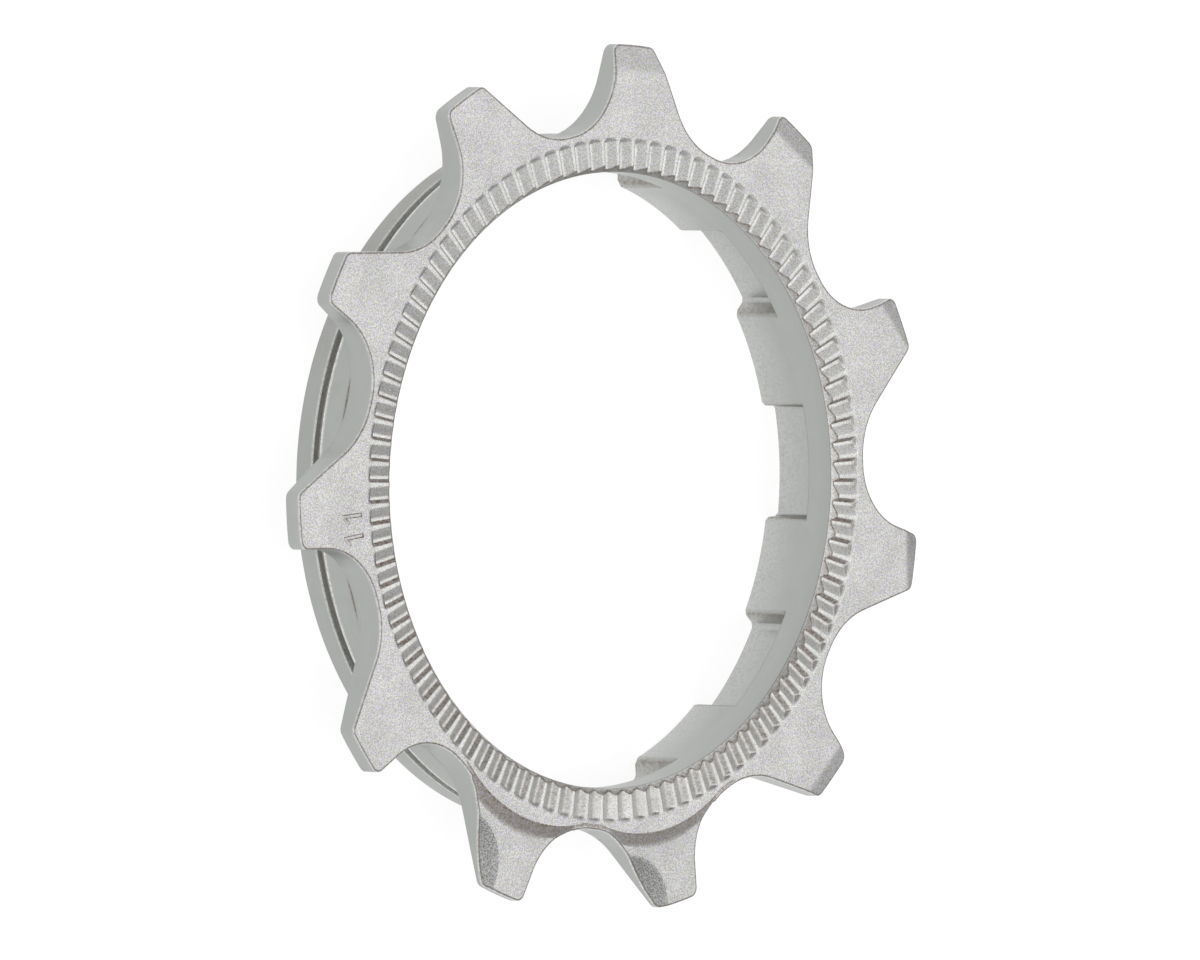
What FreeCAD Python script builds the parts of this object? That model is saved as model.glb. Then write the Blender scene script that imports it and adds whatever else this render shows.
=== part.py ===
import FreeCAD, Part
import math
import os

import Sketcher

# Driving dimensions in millimetres, degrees and counts.
# The cog lies on its rear face: that face is at z = 0, the serrated front face looks up,
# and the middle of tooth gap 0 and of spline slot 0 lie on the +X axis.
SIZES = {
    # Tooth form: the load flank is steep, the back flank slopes
    "tooth_count": 11,
    "chain_pitch": 12.7,
    "root_depth": 3.88,
    "tip_rise": 0.76,
    "load_half_width": 2.87,
    "load_angle": 19.2,
    "load_fillet": 3.75,
    "back_half_width": 1.82,
    "back_angle": 46.7,
    "back_fillet": 4.3,
    "tip_fillet": 0.5,
    "root_thickness": 1.85,
    "tip_thickness": 1.05,
    # Spacer behind the teeth, set in from their roots, with a turned groove
    "overall_thickness": 5.4,
    "hub_inset": 0.16,
    "groove_setback": 3.65,
    "groove_width": 0.45,
    "groove_depth": 0.4,
    "rim_break": 0.12,
    # Bore through the spacer's wall, and its spline slots, which are open at the rear only
    "hub_wall": 2.04,
    "bore_front_step": 0.16,
    "bore_front_depth": 0.28,
    "bore_rear_break": 0.25,
    "spline_count": 9,
    "slot_depth": 1.09,
    "slot_width": 6.06,
    "key_slot_width": 4.2,
    "slot_setback": 2.05,
    # Ratchet serrations on the front face
    "serration_count": 100,
    "serration_inset": 0.33,
    "serration_depth": 0.26,
    "serration_steep_width": 0.22,
    "serration_crest_width": 0.07,
    # Lowered teeth, which let the chain pass
    "lowered_count": 2,
    "lowered_wall_radius": 8.5,
    "lowered_wall_rise": 0.46,
    "lowered_sweep_angle": 54,
    "lowered_depth": 0.3,
    "lowered_foot_radius": 0.57,
    "lowered_fall_angle": 3,
    # Shallow cone that hollows the back corner of each lowered tooth
    "hollow_rise": 0.31,
    "hollow_turn_angle": 9.27,
    "hollow_depth": 1.37,
    "hollow_slope_angle": 16.7,
    # Bevelled tips: how wide each bevel is, and how far two of them turn to the load flank
    "tip_middle_angle": 18.15,
    "bevel_slope_angle": 14,
    "bevel_width_0": 1.35,
    "bevel_width_1": 1.25,
    "bevel_width_2": 1.45,
    "bevel_width_9": 1.0,
    "bevel_width_10": 1.45,
    "bevel_turn_angle_0": 16,
    "bevel_turn_angle_10": 14,
}

# Teeth and slots are counted counter-clockwise from the gap and the slot on +X.
LOWERED_TOOTH = "7"
KEY_SLOT = "4"
BEVEL_TURNS = {
    "0": "Sizes.bevel_turn_angle_0",
    "1": "0",
    "2": "0",
    "9": "0",
    "10": "Sizes.bevel_turn_angle_10",
}

# Room by which a cutting outline passes the surface it cuts.
CLEAR = "0.5"

# Share of the flat root that its two fillets may take up.
ROOT_SHARE = "0.95"

# Nearness within which two points or lengths count as the same.
NEAR = 1e-4

# Worked-out lengths and angles, as formulas on the sheet.
GAP_ANGLE = "360 / Sizes.tooth_count"
PITCH_RADIUS = "Sizes.chain_pitch / (2 * sin(180 / Sizes.tooth_count))"
ROOT = f"({PITCH_RADIUS} - Sizes.root_depth)"
TIP = f"({PITCH_RADIUS} + Sizes.tip_rise)"
HUB = f"({ROOT} - Sizes.hub_inset)"
BORE = f"({HUB} - Sizes.hub_wall)"
TOOTH_WIDTH = "(Sizes.chain_pitch - Sizes.load_half_width - Sizes.back_half_width)"
FRONT = "Sizes.overall_thickness"
ABOVE_FRONT = f"({FRONT} + {CLEAR})"
BEYOND_TIP = f"({TIP} + {CLEAR})"

doc = FreeCAD.newDocument("cassette_cog")
sheet = doc.addObject("Spreadsheet::Sheet", "Sizes")
for row, (alias, number) in enumerate(SIZES.items(), start=1):
    sheet.set(f"A{row}", alias)
    sheet.set(f"B{row}", str(number))
    sheet.setAlias(f"B{row}", alias)
doc.recompute()

body = doc.addObject("PartDesign::Body", "Cog")
body.Label = "cassette_cog"


def size_of(formula):
    """Return the number that a formula on the sheet gives now."""
    return float(sheet.evalExpression(formula))


def origin_part(role):
    """Return one of the body's own origin planes or axes."""
    return next(item for item in body.Origin.OriginFeatures if item.Role == role)


def add_side(sketch, start, end, centre_x):
    """Draw one side of an outline, and return the ends of it that lie at start and at end."""
    if centre_x is None:
        sketch.addGeometry(Part.LineSegment(start, end), False)
        return 1, 2
    middle = (start + end) / 2
    along = end - start
    centre_y = middle.y - (centre_x - middle.x) * along.x / along.y
    centre = FreeCAD.Vector(centre_x, centre_y, 0)
    circle = Part.Circle(centre, FreeCAD.Vector(0, 0, 1), (start - centre).Length)
    counter_clockwise = (start - centre).cross(end - centre).z > 0
    first, last = (start, end) if counter_clockwise else (end, start)
    arc = Part.ArcOfCircle(circle, circle.parameter(first), circle.parameter(last))
    sketch.addGeometry(arc, False)
    return (1, 2) if counter_clockwise else (2, 1)


def bind(sketch, kind, side, end, formula):
    """Hold one coordinate of a point of a sketch at a formula."""
    row = sketch.addConstraint(Sketcher.Constraint(kind, -1, 1, side, end, size_of(formula)))
    sketch.setExpression(f"Constraints[{row}]", formula)


def make_sketch(name, plane, corners, arc_centres=None):
    """Draw a closed outline on an origin plane.

    corners are pairs of formulas. arc_centres gives, for each side that is an arc, the formula of
    its centre's first coordinate.
    """
    arc_centres = arc_centres or {}
    sketch = body.newObject("Sketcher::SketchObject", name)
    sketch.AttachmentSupport = [(origin_part(plane), "")]
    sketch.MapMode = "FlatFace"
    places = [FreeCAD.Vector(size_of(x), size_of(y), 0) for x, y in corners]
    count = len(places)
    ends = []
    for side in range(count):
        centre_x = size_of(arc_centres[side]) if side in arc_centres else None
        ends.append(add_side(sketch, places[side], places[(side + 1) % count], centre_x))
    for side in range(count):
        before = (side - 1) % count
        sketch.addConstraint(
            Sketcher.Constraint("Coincident", side, ends[side][0], before, ends[before][1])
        )
        bind(sketch, "DistanceX", side, ends[side][0], corners[side][0])
        bind(sketch, "DistanceY", side, ends[side][0], corners[side][1])
    for side, centre_x in arc_centres.items():
        bind(sketch, "DistanceX", side, 3, centre_x)
    return sketch


def swing(sketch, angle, aside="0"):
    """Swing a sketch on an upright plane about the cog's axis, and move it aside, clockwise."""
    turn = FreeCAD.Rotation(FreeCAD.Vector(0, 1, 0), 1)
    sketch.AttachmentOffset = FreeCAD.Placement(FreeCAD.Vector(), turn)
    sketch.setExpression("AttachmentOffset.Rotation.Angle", angle)
    sketch.setExpression("AttachmentOffset.Base.x", f"({aside}) * sin({angle})")
    sketch.setExpression("AttachmentOffset.Base.z", f"({aside}) * cos({angle})")


def turn_flat(sketch, angle):
    """Turn a sketch on the level plane about the cog's axis."""
    turn = FreeCAD.Rotation(FreeCAD.Vector(0, 0, 1), 1)
    sketch.AttachmentOffset = FreeCAD.Placement(FreeCAD.Vector(), turn)
    sketch.setExpression("AttachmentOffset.Rotation.Angle", angle)


def settle(feature):
    """Recompute a feature, make it the body's tip, and stop if a cut took nothing away."""
    body.Tip = feature
    doc.recompute()
    base = feature.BaseFeature
    if base and feature.Shape.Volume >= base.Shape.Volume:
        raise RuntimeError(f"{feature.Name} cuts nothing")
    return feature


def make_pocket(name, sketch, length=None, towards_normal=False):
    """Cut an outline through the body, or to a length."""
    pocket = body.newObject("PartDesign::Pocket", name)
    pocket.Profile = sketch
    pocket.Reversed = towards_normal
    if length is None:
        pocket.Type = "ThroughAll"
    else:
        pocket.setExpression("Length", length)
    return pocket


def make_turned_cut(name, sketch, axis_x, sweep):
    """Cut an outline swept about an upright axis in its own plane, evenly to both sides."""
    low_end = FreeCAD.Vector(size_of(axis_x), 0, 0)
    high_end = FreeCAD.Vector(size_of(axis_x), size_of(FRONT), 0)
    axis = sketch.addGeometry(Part.LineSegment(low_end, high_end), True)
    for end, height in ((1, "0"), (2, FRONT)):
        bind(sketch, "DistanceX", axis, end, axis_x)
        bind(sketch, "DistanceY", axis, end, height)
    cut = body.newObject("PartDesign::Groove", name)
    cut.Profile = sketch
    cut.ReferenceAxis = (sketch, ["Axis0"])
    cut.Midplane = True
    cut.setExpression("Angle", sweep)
    return settle(cut)


def make_pattern(name, feature, count, angle):
    """Repeat a cut about the cog's axis."""
    pattern = body.newObject("PartDesign::PolarPattern", name)
    pattern.Originals = [feature]
    pattern.Axis = (origin_part("Z_Axis"), [""])
    pattern.setExpression("Occurrences", count)
    pattern.setExpression("Angle", angle)
    return settle(pattern)


def upright_edges(shape, radius):
    """Name the edges that stand upright at a radius from the cog's axis."""
    names = []
    for number, edge in enumerate(shape.Edges, start=1):
        low, high = edge.Vertexes[0].Point, edge.Vertexes[-1].Point
        leans = math.hypot(high.x - low.x, high.y - low.y) > NEAR
        level = abs(high.z - low.z) < NEAR
        if not leans and not level and abs(math.hypot(low.x, low.y) - radius) < NEAR:
            names.append(f"Edge{number}")
    return names


def round_edges(name, radius_from_axis, fillet):
    """Round all upright edges at a radius from the cog's axis."""
    base = body.Tip
    rounding = body.newObject("PartDesign::Fillet", name)
    rounding.Base = (base, upright_edges(base.Shape, size_of(radius_from_axis)))
    rounding.setExpression("Radius", fillet)
    doc.recompute()
    body.Tip = rounding
    return rounding


def make_blank():
    """Turn the blank: spacer with its groove, tapered plate and bore."""
    groove_front = f"({FRONT} - Sizes.groove_setback)"
    groove_back = f"({groove_front} - Sizes.groove_width)"
    groove_floor = f"({HUB} - Sizes.groove_depth)"
    bore_step = f"({BORE} + Sizes.bore_front_step)"
    bore_shoulder = f"({FRONT} - Sizes.bore_front_depth)"
    corners = [
        (f"{BORE} + Sizes.bore_rear_break", "0"),
        (f"{HUB} - Sizes.rim_break", "0"),
        (HUB, "Sizes.rim_break"),
        (HUB, groove_back),
        (groove_floor, groove_back),
        (groove_floor, groove_front),
        (HUB, groove_front),
        (HUB, f"{FRONT} - Sizes.root_thickness"),
        (TIP, f"{FRONT} - Sizes.tip_thickness"),
        (TIP, FRONT),
        (bore_step, FRONT),
        (bore_step, bore_shoulder),
        (BORE, f"{bore_shoulder} - Sizes.bore_front_step"),
        (BORE, "Sizes.bore_rear_break"),
    ]
    sketch = make_sketch("BlankProfile", "XZ_Plane", corners)
    blank = body.newObject("PartDesign::Revolution", "Blank")
    blank.Profile = sketch
    blank.ReferenceAxis = (sketch, ["V_Axis"])
    blank.Angle = 360
    settle(blank)


def cut_tooth_gaps():
    """Cut the gaps between the teeth and round their roots and the tips."""
    rise = f"({BEYOND_TIP} - {ROOT})"
    corners = [
        (ROOT, "-Sizes.load_half_width"),
        (BEYOND_TIP, f"-Sizes.load_half_width - {rise} * tan(Sizes.load_angle)"),
        (BEYOND_TIP, f"Sizes.back_half_width + {rise} * tan(Sizes.back_angle)"),
        (ROOT, "Sizes.back_half_width"),
    ]
    gap = make_pocket("Gap", make_sketch("GapProfile", "XY_Plane", corners), towards_normal=True)
    settle(gap)
    make_pattern("Gaps", gap, "Sizes.tooth_count", "360")

    # The two root fillets share the flat root between them.
    load_tangent = "Sizes.load_fillet * tan(45 - Sizes.load_angle / 2)"
    back_tangent = "Sizes.back_fillet * tan(45 - Sizes.back_angle / 2)"
    flat_root = f"{ROOT_SHARE} * (Sizes.load_half_width + Sizes.back_half_width)"
    share = f"min(1; {flat_root} / ({load_tangent} + {back_tangent}))"
    round_edges(
        "LoadRoots", f"sqrt({ROOT}^2 + Sizes.load_half_width^2)", f"Sizes.load_fillet * {share}"
    )
    round_edges(
        "BackRoots", f"sqrt({ROOT}^2 + Sizes.back_half_width^2)", f"Sizes.back_fillet * {share}"
    )
    round_edges("TipCorners", TIP, "Sizes.tip_fillet")


def slot_corners(width):
    """Outline of one spline slot on +X: parallel sides and a round floor."""
    mouth = f"sqrt({BORE}^2 - ({width} / 2)^2) - {CLEAR}"
    floor = f"sqrt(({BORE} + Sizes.slot_depth)^2 - ({width} / 2)^2)"
    return [
        (mouth, f"-{width} / 2"),
        (floor, f"-{width} / 2"),
        (floor, f"{width} / 2"),
        (mouth, f"{width} / 2"),
    ]


def cut_spline_slots():
    """Cut the blind spline slots from the rear, with one narrow slot that keys the cog."""
    depth = f"{FRONT} - Sizes.slot_setback"
    step = "360 / Sizes.spline_count"
    floor_side = {1: "0"}
    sketch = make_sketch("SlotProfile", "XY_Plane", slot_corners("Sizes.slot_width"), floor_side)
    turn_flat(sketch, f"({KEY_SLOT} + 1) * {step}")
    slot = make_pocket("Slot", sketch, depth, towards_normal=True)
    settle(slot)
    make_pattern("Slots", slot, "Sizes.spline_count - 1", f"360 - 2 * {step}")

    key = make_sketch("KeySlotProfile", "XY_Plane", slot_corners("Sizes.key_slot_width"), floor_side)
    turn_flat(key, f"{KEY_SLOT} * {step}")
    settle(make_pocket("KeySlot", key, depth, towards_normal=True))


def cut_serrations():
    """Cut the ratchet serrations: steep on one side of the trough, gentle on the other."""
    outer = f"({HUB} - Sizes.serration_inset)"
    middle = f"({outer} + {BORE}) / 2"
    pitch = f"(2 * pi * {middle} / Sizes.serration_count)"
    gentle = f"({pitch} - Sizes.serration_steep_width - Sizes.serration_crest_width)"
    corners = [
        ("0", f"{FRONT} - Sizes.serration_depth"),
        ("Sizes.serration_steep_width", FRONT),
        ("Sizes.serration_steep_width", ABOVE_FRONT),
        (f"-{gentle}", ABOVE_FRONT),
        (f"-{gentle}", FRONT),
    ]
    sketch = make_sketch("SerrationProfile", "YZ_Plane", corners)
    sketch.setExpression("AttachmentOffset.Base.z", outer)
    notch = make_pocket("Serration", sketch, f"{outer} - {BORE} + {CLEAR}")
    settle(notch)
    make_pattern("Serrations", notch, "Sizes.serration_count", "360")


def lower_teeth():
    """Lower the face of neighbouring teeth behind a round wall, and hollow their back corners."""
    wall = f"({ROOT} + Sizes.lowered_wall_rise)"
    foot_width = "sqrt(2 * Sizes.lowered_foot_radius * Sizes.lowered_depth - Sizes.lowered_depth^2)"
    foot = f"({wall} + {foot_width})"
    low = f"({FRONT} - Sizes.lowered_depth)"
    corners = [
        (wall, FRONT),
        (foot, low),
        (BEYOND_TIP, f"{low} - ({BEYOND_TIP} - {foot}) * tan(Sizes.lowered_fall_angle)"),
        (BEYOND_TIP, ABOVE_FRONT),
        (wall, ABOVE_FRONT),
    ]
    sketch = make_sketch("LoweredProfile", "XZ_Plane", corners, {0: foot})
    swing(sketch, f"({LOWERED_TOOTH} + 0.5) * {GAP_ANGLE}")
    axis_x = f"{wall} - Sizes.lowered_wall_radius"
    lowered = make_turned_cut("LoweredTooth", sketch, axis_x, "Sizes.lowered_sweep_angle")
    last_step = f"(Sizes.lowered_count - 1) * {GAP_ANGLE}"
    make_pattern("LoweredTeeth", lowered, "Sizes.lowered_count", last_step)

    middle = f"({TIP} + Sizes.hollow_rise)"
    rim = f"({middle} - Sizes.hollow_depth / tan(Sizes.hollow_slope_angle))"
    corners = [
        (rim, FRONT),
        (middle, f"{FRONT} - Sizes.hollow_depth"),
        (middle, ABOVE_FRONT),
        (rim, ABOVE_FRONT),
    ]
    sketch = make_sketch("HollowProfile", "XZ_Plane", corners)
    swing(sketch, f"{LOWERED_TOOTH} * {GAP_ANGLE} + Sizes.hollow_turn_angle")
    hollow = make_turned_cut("HollowCorner", sketch, middle, "360")
    make_pattern("HollowCorners", hollow, "Sizes.lowered_count", last_step)


def bevel_tip(tooth, turn):
    """Bevel the front edge of one tooth's tip with a flat cut."""
    start = f"({TIP} - Sizes.bevel_width_{tooth})"
    fall = f"({BEYOND_TIP} - {start}) * tan(Sizes.bevel_slope_angle)"
    corners = [
        (start, FRONT),
        (BEYOND_TIP, f"{FRONT} - {fall}"),
        (BEYOND_TIP, ABOVE_FRONT),
        (start, ABOVE_FRONT),
    ]
    sketch = make_sketch(f"BevelProfile{tooth}", "XZ_Plane", corners)
    direction = f"{tooth} * {GAP_ANGLE} + Sizes.tip_middle_angle + {turn}"
    swing(sketch, direction, aside=f"{TIP} * sin({turn})")
    bevel = make_pocket(f"Bevel{tooth}", sketch, TOOTH_WIDTH)
    bevel.Midplane = True
    settle(bevel)


make_blank()
cut_tooth_gaps()
cut_spline_slots()
lower_teeth()
for tooth, turn in BEVEL_TURNS.items():
    bevel_tip(tooth, turn)
cut_serrations()

doc.recompute()
for item in doc.Objects:
    if "Invalid" in item.State or "Error" in item.State:
        raise RuntimeError(f"{item.Name} failed: {item.State}")
if body.Shape.isNull() or not body.Shape.isValid() or len(body.Shape.Solids) != 1:
    raise RuntimeError("the cog is not one valid solid")

os.makedirs("parts", exist_ok=True)
body.Shape.exportStep(f"parts/{body.Label}.step")
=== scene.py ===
"""Cassette cog of satin plated steel, lying on its rear face on a white floor."""

import math

import bpy
import numpy as np
from mathutils import Matrix, Vector
from mathutils.geometry import delaunay_2d_cdt


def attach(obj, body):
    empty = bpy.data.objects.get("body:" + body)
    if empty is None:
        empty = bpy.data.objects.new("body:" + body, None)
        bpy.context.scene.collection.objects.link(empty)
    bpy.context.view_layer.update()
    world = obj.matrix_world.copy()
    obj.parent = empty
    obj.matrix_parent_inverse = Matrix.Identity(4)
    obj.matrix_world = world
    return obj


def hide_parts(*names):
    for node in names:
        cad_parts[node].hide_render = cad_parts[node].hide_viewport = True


MM = 0.001

# The cog's sizes in millimetres and degrees. They follow the solid, apart from the fine shape of the
# serrations, the lowered teeth's walls, one bevel and the bore's front edge.
TEETH = 11
GAP_STEP = 360 / TEETH
CHAIN_PITCH = 12.7
PITCH_RADIUS = CHAIN_PITCH / (2 * math.sin(math.pi / TEETH))
ROOT_DEPTH = 3.88
ROOT = PITCH_RADIUS - ROOT_DEPTH
TIP_RISE = 0.755
TIP = PITCH_RADIUS + TIP_RISE
LOAD_HALF_WIDTH = 2.87
LOAD_ANGLE = 19.2
LOAD_FILLET = 3.75
BACK_HALF_WIDTH = 1.82
BACK_ANGLE = 46.7
BACK_FILLET = 4.3
TIP_FILLET = 0.5
ROOT_THICKNESS = 1.85
TIP_THICKNESS = 1.05
FRONT = 5.4
PLATE_BACK = FRONT - ROOT_THICKNESS
HUB_INSET = 0.16
HUB = ROOT - HUB_INSET
GROOVE_SETBACK = 3.65
GROOVE_FRONT = FRONT - GROOVE_SETBACK
GROOVE_WIDTH = 0.45
GROOVE_BACK = GROOVE_FRONT - GROOVE_WIDTH
GROOVE_DEPTH = 0.4
GROOVE_FLOOR = HUB - GROOVE_DEPTH
HUB_THICKNESS = 2.04
BORE = HUB - HUB_THICKNESS
SPLINES = 9
KEY_SLOT = 4
SLOT_DEPTH = 1.09
SLOT_FLOOR = BORE + SLOT_DEPTH
SLOT_WIDTH = 6.06
KEY_SLOT_WIDTH = 4.2
SLOT_SETBACK = 2.05
SLOT_END = FRONT - SLOT_SETBACK
SERRATIONS = 100
SERRATION_INSET = 0.42
SERRATION_OUTER = HUB - SERRATION_INSET
SERRATION_DEPTH = 0.24
SERRATION_STEEP = 0.18
SERRATION_GENTLE = 0.693
LOWERED_TEETH = (7, 8)
LOWERED_WALL = 8.5
LOWERED_WALL_RISE = 0.46
LOWERED_AXIS = ROOT + LOWERED_WALL_RISE - LOWERED_WALL
LOWERED_HALF_SWEEP = 27
LOWERED_DEPTH = 0.3
LOWERED_FOOT = 0.62
LOWERED_FALL = 3
HOLLOW_RISE = 0.31
HOLLOW_REACH = TIP + HOLLOW_RISE
HOLLOW_TURN = 9.27
HOLLOW_DEPTH = 1.37
HOLLOW_SLOPE = 16.7
TIP_MIDDLE = 18.15
BEVEL_SLOPE = 14
# For each bevelled tooth, the bevel's width and its turn towards the load flank.
BEVELS = {0: (2.1, 20), 1: (1.25, 0), 2: (1.45, 0), 9: (1.0, 0), 10: (1.45, 14)}

# Cone that breaks the serrations' inner ends: how far it starts under the troughs, its width there,
# and how much wider it gets for each millimetre up to the crests.
CONE_FOOT = 0.08
CONE_END = FRONT - SERRATION_DEPTH - CONE_FOOT
CONE_WIDTH = 0.04
CONE_SPREAD = 0.8

# Softness of the real edges.
EDGE = 0.07
SHARP_EDGE = 0.03
SLOT_EDGE = 0.18
LAND_EDGE = 0.4
RIM_EDGE = 0.12
BEVEL_SOFTNESS = 0.08
WALL_SOFTNESS = 0.06
SERRATION_SOFTNESS = 0.03
SERRATION_RUNOUT = 0.1
# Share of a sharp edge's width at which the row in its middle stands.
SHARP_MIDDLE = 0.3

# Where the columns of the mesh stand within one serration, as shares of its pitch.
COLUMN_SHARES = np.array(
    (-0.03, 0.0, 0.03, 0.10, 0.17, 0.20, 0.23, 0.30, 0.37, 0.40, 0.43, 0.60, 0.78, 0.84)
)
# Shares of the pitch at the crest's end, the start and end of the trough, the crest's start, and so
# on for the next serration. For each, its height as a share of the depth, how far it lies across from
# the trough's end, and the pitches to add.
SERRATION_KNOTS = np.array((-0.6, -0.2, 0.0, 0.2, 0.4, 0.8, 1.0, 1.2))
SERRATION_LEVELS = np.array((0.0, -0.95, -1.0, 0.0, 0.0, -0.95, -1.0, 0.0))
SERRATION_BEND = 0.5
SERRATION_PLACES = (-SERRATION_GENTLE, SERRATION_BEND - SERRATION_GENTLE, 0.0, SERRATION_STEEP) * 2
SERRATION_PITCHES = (0, 0, 0, 0, 1, 1, 1, 1)
# Span and number of the points at which the serrations' profile is softened.
PROFILE_SPAN = (-0.5, 1.2)
PROFILE_POINTS = 3401

# Points on the outline's arcs, and the step to which the outline is then refined.
ROOT_ARC_POINTS = 60
TIP_CORNER_POINTS = 30
TIP_POINTS = 20
OUTLINE_STEP = 0.02

# Radius about halfway up the slots' walls. There the slots' widths pick the columns that become walls.
SLOT_MIDDLE = BORE + 0.5
# Circle on the front face between the serrated ring and the teeth.
SEAM = HUB - 0.14
# Rows beside an edge, which hold the shading and the finish in place: outside the slots on the rear
# face, inside the serrations' outer ends, at the teeth's feet, on their flanks and on their front rims.
REAR_FACE_STEP = 0.25
SERRATION_STEP = 0.1
FOOT_STEP = 0.03
FLANK_STEP = 0.1
RIM_STEP = 0.06
# Heights of rows on the spacer: beside the groove's rear and front edges, and where the painted shade
# under the teeth starts and where it is dark.
GROOVE_BACK_ROW = GROOVE_BACK - 2.5 * EDGE
GROOVE_FRONT_ROW = GROOVE_FRONT + 4 * EDGE
PLATE_UNSHADED_ROW = PLATE_BACK - 0.32
PLATE_SHADED_ROW = PLATE_BACK - 0.21

# Shares of the way from the seam to the rim. The front face's rows bunch up between the plain shares,
# or on a lowered or bevelled tooth at its crease, within the limits.
PLAIN_SHARES = (0.3, 0.45)
CREASE_LEAST = 0.3
CREASE_HALF_WIDTH = 0.05
CREASE_STEP = 0.02
FIRST_LIMITS = (0.05, 0.88)
SECOND_LIMIT = 0.94
LEAST_GAP = 0.03
# Least way in a bevel's direction, which keeps the division by it safe.
LEAST_RUN = 0.01

# Rows along the slots' ends: how far out they reach at most, their heights in the slots and on the
# lands, and the painted shade in the slots.
SLOT_END_ROWS = (
    (BORE, SLOT_END + SHARP_EDGE, SLOT_END + SHARP_EDGE, 0.3),
    (BORE + SHARP_EDGE, SLOT_END, SLOT_END - 0.05, 0.7),
    (SLOT_FLOOR - EDGE, SLOT_END, SLOT_END - 0.2, 0.7),
    (SLOT_FLOOR, SLOT_END - EDGE, SLOT_END - 0.35, 0.5),
    (SLOT_FLOOR, SLOT_END - 0.3, SLOT_END - 0.5, 0.0),
)
# Rows along the serrations' outer ends: share of the full depth, and painted shade.
RUNOUT_ROWS = ((0.0, 0.0), (0.15, 0.1), (0.5, 0.1), (0.85, 0.25), (1.0, 0.1))
# Rows on the teeth's rear: share of the way from the foot to the rim, and painted shade.
REAR_ROWS = ((0.0, 0.8), (0.1, 0.0), (0.5, 0.0), (1.0, 0.0))
# Rows on the front, from the rim to the crease and across it to the seam: share of the way along each
# stretch, and the part of a lowered wall's painted shade.
OUTER_ROWS = (
    (1.0, 0.0), (0.86, 0.0), (0.72, 0.0), (0.58, 0.0), (0.44, 0.0), (0.3, 0.0), (0.06, 0.0), (0.0, 0.6)
)
CREASE_ROWS = ((0.75, 0.9), (0.4, 0.9), (0.12, 1.0), (0.0, 1.6))

# Wear on the flat troughs and crests, grime and painted shade on the steep sides and painted shade in
# the troughs, each at shares of a serration's pitch.
FLAT_SHARES = (-0.03, 0.03, 0.17, 0.2, 0.4, 0.43, 0.78, 0.84)
FLAT_LEVELS = (1, 0, 0, 0.5, 0.5, 0, 0, 1)
STEEP_SHARES = (-0.03, 0.0, 0.03, 0.17, 0.2, 0.43, 0.78, 0.84)
STEEP_LEVELS = (0, 0.8, 1, 1, 0, 0, 0.2, 0)
TROUGH_SHARES = (-0.03, 0.0, 0.6, 0.84)
TROUGH_LEVELS = (0.12, 0, 0, 0.12)
FLAT_WEAR = 0.85
# Wear and grime round the ring: the least, and how much painted highlight and shade is added at most.
WEAR_LEAST = 0.35
LOWER_HIGHLIGHT_ADDED = 0.5
STAIN_LEAST = 0.05
SIDE_SHADE_ADDED = 0.85
# Painted shade, painted highlights, grime and wear on the other edges and corners.
# Painted shade along the cone and along the bore's front edge.
CONE_TOP_SHADE = 1.0
CONE_SHADE = 0.4
BORE_EDGE_SHADE = 0.6
REAR_EDGE_WEAR = 0.3
# Darkening of the spacer's rim, which grows towards +y.
SPACER_DARKENING = 0.2
# Painted highlights on the groove's edges.
GROOVE_BACK_HIGHLIGHT = 0.5
GROOVE_FRONT_HIGHLIGHT = 1
GROOVE_BACK_GRIME = 0.35
GROOVE_FRONT_GRIME = 0.2
# Painted shade under the teeth.
PLATE_SHADE = 0.7
TOOTH_EDGE_WEAR = (0.5, 1.0, 0.3)
# Painted shade along the teeth's front edge.
TOOTH_RIM_SHADE = 1.0
# Painted shade on the floor beside a slot's wall, at the wall's foot and top, and on the land beside it.
SLOT_WALL_SHADE = (0.0, 0.1, 0.45, 0.05)
# Painted shade on the round wall of each lowered tooth.
LOWERED_WALL_SHADE = {7: 0.62, 8: 0.5}

# Tooth count stamped on one tooth: the outline of a figure 1 as distances from the cog's axis and
# across, the angles of the two figures, and the field of the mesh that makes room for them.
FIGURE = np.array(
    ((18.8, -0.12), (20.22, -0.12), (20.22, 0.1), (19.82, 0.46), (19.64, 0.36), (19.9, 0.12), (18.8, 0.12))
)
FIGURE_ANGLES = (182.1, 185.4)
FIGURE_FIELD = (179.8, 188.8)
FIGURE_FIELD_ROWS = 11
# Rings of a figure's recess: how far in each lies, its height and its painted shade.
FIGURE_DRAFT = 0.03
FIGURE_SHADE_WIDTH = 0.045
FIGURE_FLOOR = FRONT - 0.06
FIGURE_RINGS = (
    (0.0, FRONT, 0.9),
    (FIGURE_DRAFT, FIGURE_FLOOR, 1.0),
    (FIGURE_DRAFT + FIGURE_SHADE_WIDTH, FIGURE_FLOOR, 0.1),
)
# Share of the painted shade at each corner of a figure.
FIGURE_SHADE = (0.9, 1.0, 0.5, 0.2, 0.2, 0.7, 1.0)
# The triangles kept in the field are those inside its rim, and points this near are the same.
TRIANGLES_INSIDE = 1
SAME_POINT = 1e-7

# Values that the mesh carries at each point for its material. Grime holds real grime and painted shade,
# and wear holds real wear and painted highlights.
FINISHES = ("front", "wear", "grime", "hollow")
# Depth in a hollow of a point that is far from any.
NO_HOLLOW = -1
# How much the largest faces lead in the shading, in percent.
FACE_WEIGHT = 100

# Camera, in the part's frame.
CAMERA_PLACE_MM = Vector((-582.9324, 44.973, 603.5575))
CAMERA_BACK = Vector((-0.69613, 0.0537, 0.71591))
CAMERA_UP = Vector((0.05895, 0.99811, -0.01755))
CAMERA_LENS_MM = 470.369
SENSOR_MM = 36.0

# Sizes of the steel's noise in millimetres. The turning lines are stretched round the cog's sides.
GRAIN_MM = 0.078
FLECK_MM = 0.16
CLOUD_MM = 1.6
LINE_MM = 0.12
LINE_STRETCH = (14, 14, 1)
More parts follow.
